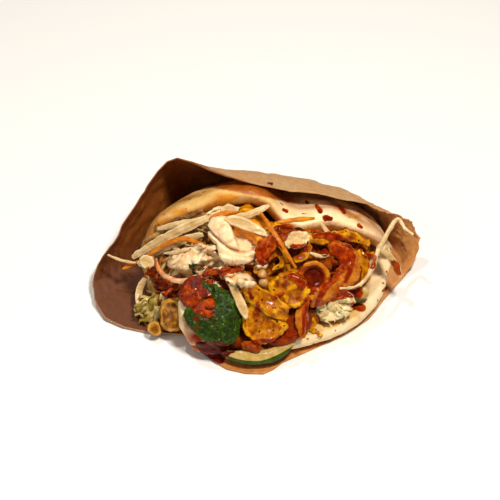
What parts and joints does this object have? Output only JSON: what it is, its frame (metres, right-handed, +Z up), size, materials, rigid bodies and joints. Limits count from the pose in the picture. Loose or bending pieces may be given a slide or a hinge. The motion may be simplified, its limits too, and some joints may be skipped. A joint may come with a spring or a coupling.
{
  "type": "stuffed pita sandwich in a paper wrap",
  "caption": "Thick pita pocket overflowing with roast chicken, slaw, egg, sauces and vegetables, lying in an opened brown paper pocket.",
  "frame": {"origin": "middle of the bounding box, on the flat underside of the paper", "axes": "+X along the length of the pita from its left mouth corner to its right one, -Y the side on which the mouth opens, +Z up from the surface it lies on"},
  "size_m": [0.2322, 0.1702, 0.0806],
  "materials": {
    "kraft_paper": "unbleached kraft paper, matte, creased and grease-marked",
    "pita_bread": "soft baked flatbread, floury pale faces with toasted patches",
    "roast_chicken": "spiced roast chicken shavings, moist, browned at the edges",
    "barbecue_sauce": "chicken and shreds coated in thick dark red-brown sauce, glossy",
    "cabbage": "raw white cabbage, sprout and onion, slightly translucent and moist",
    "carrot": "raw carrot, moist",
    "garlic_sauce": "thick cream garlic sauce, satin",
    "egg_white": "boiled egg white, smooth and moist",
    "herb_sauce": "chopped green herb paste, wet",
    "chili_sauce": "crushed red chili sauce, wet",
    "tomato": "ripe tomato slice under sauce, glossy",
    "cucumber": "cucumber and pickle, moist flesh with a dark green skin",
    "lettuce": "shredded pale lettuce, moist",
    "fried_potato": "fried potato, browned crust",
    "chickpea": "cooked chickpea, matte"
  },
  "bodies": {
    "root": {"cabbage_curve": "cabbage", "cabbage_flat": "cabbage", "cabbage_hook": "cabbage", "cabbage_leaf": "cabbage", "cabbage_rib": "cabbage", "cabbage_strip_1": "cabbage", "cabbage_strip_2": "cabbage", "cabbage_strip_3": "cabbage", "cabbage_thread": "cabbage", "cabbage_tuft": "cabbage", "carrot_arc": "carrot", "carrot_chunk": "carrot", "carrot_stick": "carrot", "carrot_strip": "carrot", "carrot_tip": "carrot", "carrot_top": "carrot", "chicken_curl": "barbecue_sauce", "chicken_drip": "barbecue_sauce", "chicken_edge": "roast_chicken", "chicken_flap": "roast_chicken", "chicken_front": "roast_chicken", "chicken_glazed": "barbecue_sauce", "chicken_heap": "roast_chicken", "chicken_long": "roast_chicken", "chicken_middle": "roast_chicken", "chicken_ring": "roast_chicken", "chicken_roll": "roast_chicken", "chicken_scrap": "roast_chicken", "chickpea_1": "chickpea", "chickpea_2": "chickpea", "chili_lump": "chili_sauce", "chili_sauce": "chili_sauce", "chili_streak": "chili_sauce", "cucumber_slice": "cucumber", "egg_half": "egg_white", "garlic_sauce": "garlic_sauce", "green_sauce": "herb_sauce", "lettuce_left": "lettuce", "lettuce_right": "lettuce", "onion_pearl": "cabbage", "onion_ring": "carrot", "onion_strand_1": "cabbage", "onion_strand_2": "cabbage", "onion_stub": "cabbage", "paper_wrap": "kraft_paper", "pickle": "cucumber", "pita": "pita_bread", "potato_1": "fried_potato", "potato_2": "fried_potato", "radish_thread": "cabbage", "sauced_flake": "barbecue_sauce", "sauced_scrap": "barbecue_sauce", "sauced_sprout": "cabbage", "slaw_heap": "cabbage", "sprout": "cabbage", "sprout_knot": "cabbage", "tomato_slice": "tomato", "white_rib": "cabbage"}
  },
  "joints": []
}
